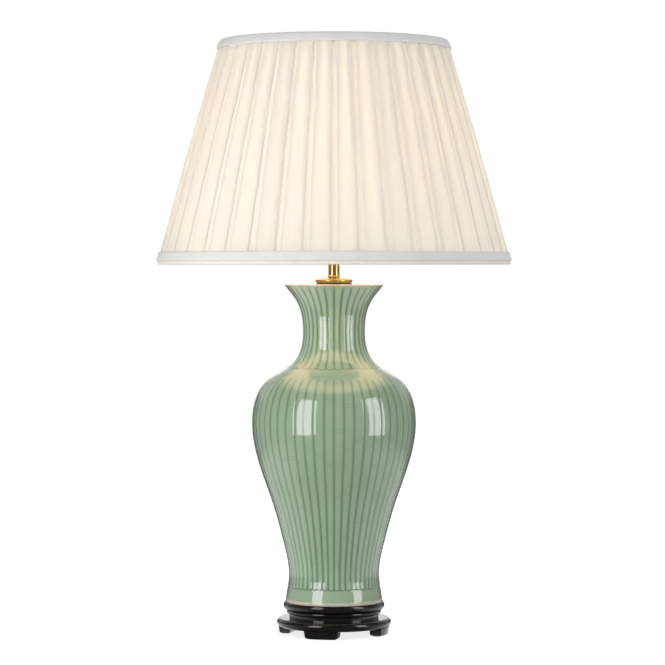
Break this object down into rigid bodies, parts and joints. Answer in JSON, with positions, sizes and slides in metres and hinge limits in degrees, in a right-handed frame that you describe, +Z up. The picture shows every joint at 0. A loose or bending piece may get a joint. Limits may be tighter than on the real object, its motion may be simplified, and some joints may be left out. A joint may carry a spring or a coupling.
{
  "type": "table lamp",
  "caption": "Baluster vase table lamp: carved green-glazed porcelain on a black turned wooden stand, brass stem, and an ivory box-pleated empire shade.",
  "frame": {"origin": "middle of the lamp's base, on the table that its felt pads stand on", "axes": "+Z up along the lamp's axis; -Y towards the front of the pictured view; +X to the viewer's right"},
  "size_m": [0.4571, 0.457, 0.7655],
  "materials": {
    "felt": "dark felt",
    "lacquer": "black lacquered turned wood, glossy",
    "steel": "zinc plated steel",
    "brass": "polished and lacquered brass",
    "bush_plastic": "moulded black plastic",
    "rubber": "black rubber",
    "celadon": "carved porcelain under a green celadon glaze",
    "porcelain": "white glazed porcelain",
    "switch_plastic": "moulded dark plastic",
    "plated": "nickel plated",
    "opal_glass": "white coated glass",
    "clear_glass": "clear glass",
    "filament": "glowing",
    "frame_wire": "white coated steel wire",
    "pleated_cloth": "ivory cloth in box pleats, lit from inside",
    "lining_cloth": "pale lining cloth",
    "trim_cloth": "pale folded tape"
  },
  "bodies": {
    "lamp_base": {"foot_pads": "felt", "stand_feet": "lacquer", "stand_top": "lacquer", "rod_washer": "steel", "rod_nut": "steel", "threaded_rod": "steel", "cable_bush": "bush_plastic", "foot_gasket": "felt", "vase": "celadon", "cap_gasket": "rubber", "vase_cap": "brass", "check_ring": "brass", "stem_tube": "brass", "holder_cap": "brass", "grub_screw": "steel", "holder_nut": "steel", "holder_body": "brass", "holder_block": "porcelain", "screw_shell": "plated", "centre_contact": "plated", "terminal_screws": "steel", "shade_rest_ring": "brass"},
    "switch": {"switch_bar": "switch_plastic"},
    "clamp_ring": {"shade_clamp_ring": "brass"},
    "bulb": {"bulb_tip": "plated", "bulb_insulator": "bush_plastic", "bulb_cap": "plated", "bulb_stem": "clear_glass", "filament_leads": "plated", "filament": "filament", "bulb_glass": "opal_glass"},
    "shade": {"fitter_ring": "frame_wire", "fitter_arms": "frame_wire", "frame_bottom_ring": "frame_wire", "frame_top_ring": "frame_wire", "frame_struts": "frame_wire", "shade_cover": "pleated_cloth", "shade_lining": "lining_cloth", "bottom_trim": "trim_cloth", "top_trim": "trim_cloth"}
  },
  "joints": [
    {"name": "shade_turn", "type": "hinge", "parent": "lamp_base", "child": "shade", "pos_m": [0, 0, 0.52735], "axis": [0, 0, 1], "continuous": true},
    {"name": "clamp_ring_unscrew", "type": "slide", "parent": "lamp_base", "child": "clamp_ring", "axis": [0, 0, 1], "range_m": [0, 0.012]},
    {"name": "bulb_unscrew", "type": "slide", "parent": "lamp_base", "child": "bulb", "axis": [0, 0, 1], "range_m": [0, 0.03]},
    {"name": "switch_push", "type": "slide", "parent": "lamp_base", "child": "switch", "axis": [1, 0, 0], "range_m": [-0.004, 0]}
  ]
}
